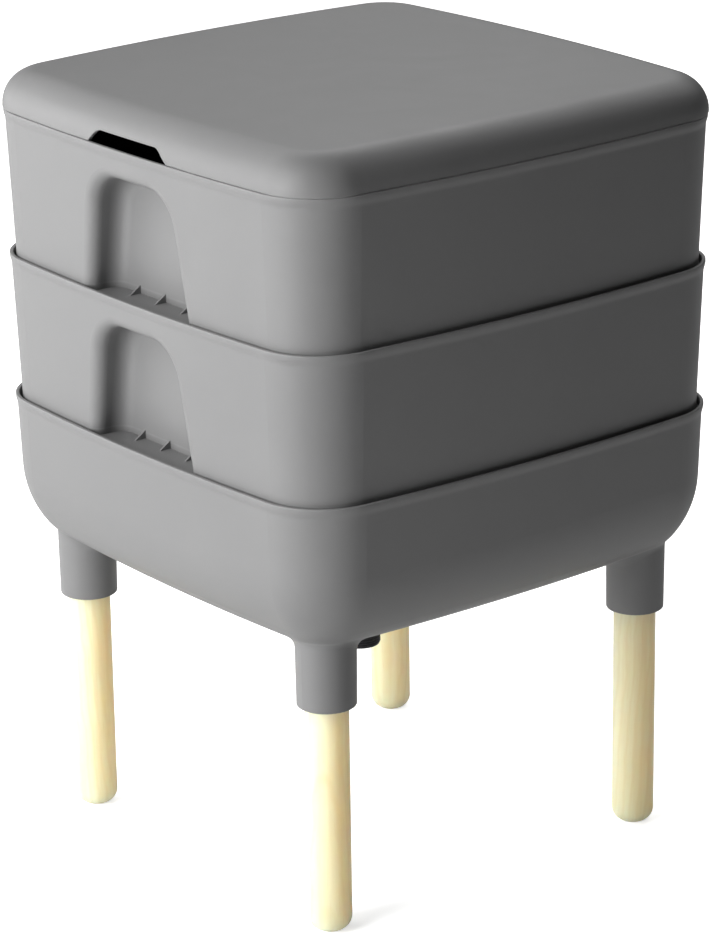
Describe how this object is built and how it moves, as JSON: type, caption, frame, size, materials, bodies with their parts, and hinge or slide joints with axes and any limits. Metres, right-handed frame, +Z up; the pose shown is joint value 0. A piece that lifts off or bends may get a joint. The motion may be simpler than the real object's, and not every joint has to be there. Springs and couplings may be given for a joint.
{
  "type": "wormery",
  "caption": "Stacking wormery: lid and worm trays over a drained collecting tank with a bottom tap, on four wooden legs.",
  "frame": {"origin": "on the floor, under the middle of the stack", "axes": "+Z up, -Y to the front, +X to the right; the hand pockets and the lid's notches are in the -X and +X sides"},
  "size_m": [0.4108, 0.4108, 0.591],
  "materials": {
    "grey_plastic": "fine satin moulding texture",
    "pale_wood": "smooth turned, clear lacquer",
    "black_plastic": "satin",
    "seal_rubber": "matte"
  },
  "bodies": {
    "base": {"base_tank": "grey_plastic", "leg_front_left": "pale_wood", "leg_front_right": "pale_wood", "leg_back_left": "pale_wood", "leg_back_right": "pale_wood", "tap_body": "black_plastic", "tap_nut": "black_plastic", "tap_upper_washer": "seal_rubber", "tap_lower_washer": "seal_rubber", "tap_disc_seal": "seal_rubber"},
    "lower_tray": {"lower_tray": "grey_plastic"},
    "upper_tray": {"upper_tray": "grey_plastic"},
    "lid": {"lid": "grey_plastic"},
    "tap_collar": {"tap_collar": "black_plastic"}
  },
  "joints": [
    {"name": "lower_tray_lift", "type": "slide", "parent": "base", "child": "lower_tray", "axis": [0, 0, 1], "range_m": [0, 0.15]},
    {"name": "upper_tray_lift", "type": "slide", "parent": "lower_tray", "child": "upper_tray", "axis": [0, 0, 1], "range_m": [0, 0.15]},
    {"name": "lid_lift", "type": "slide", "parent": "upper_tray", "child": "lid", "axis": [0, 0, 1], "range_m": [0, 0.15]},
    {"name": "tap_turn", "type": "hinge", "parent": "base", "child": "tap_collar", "pos_m": [0, 0, 0.17], "axis": [0, 0, 1], "range_deg": [0, 90]}
  ]
}
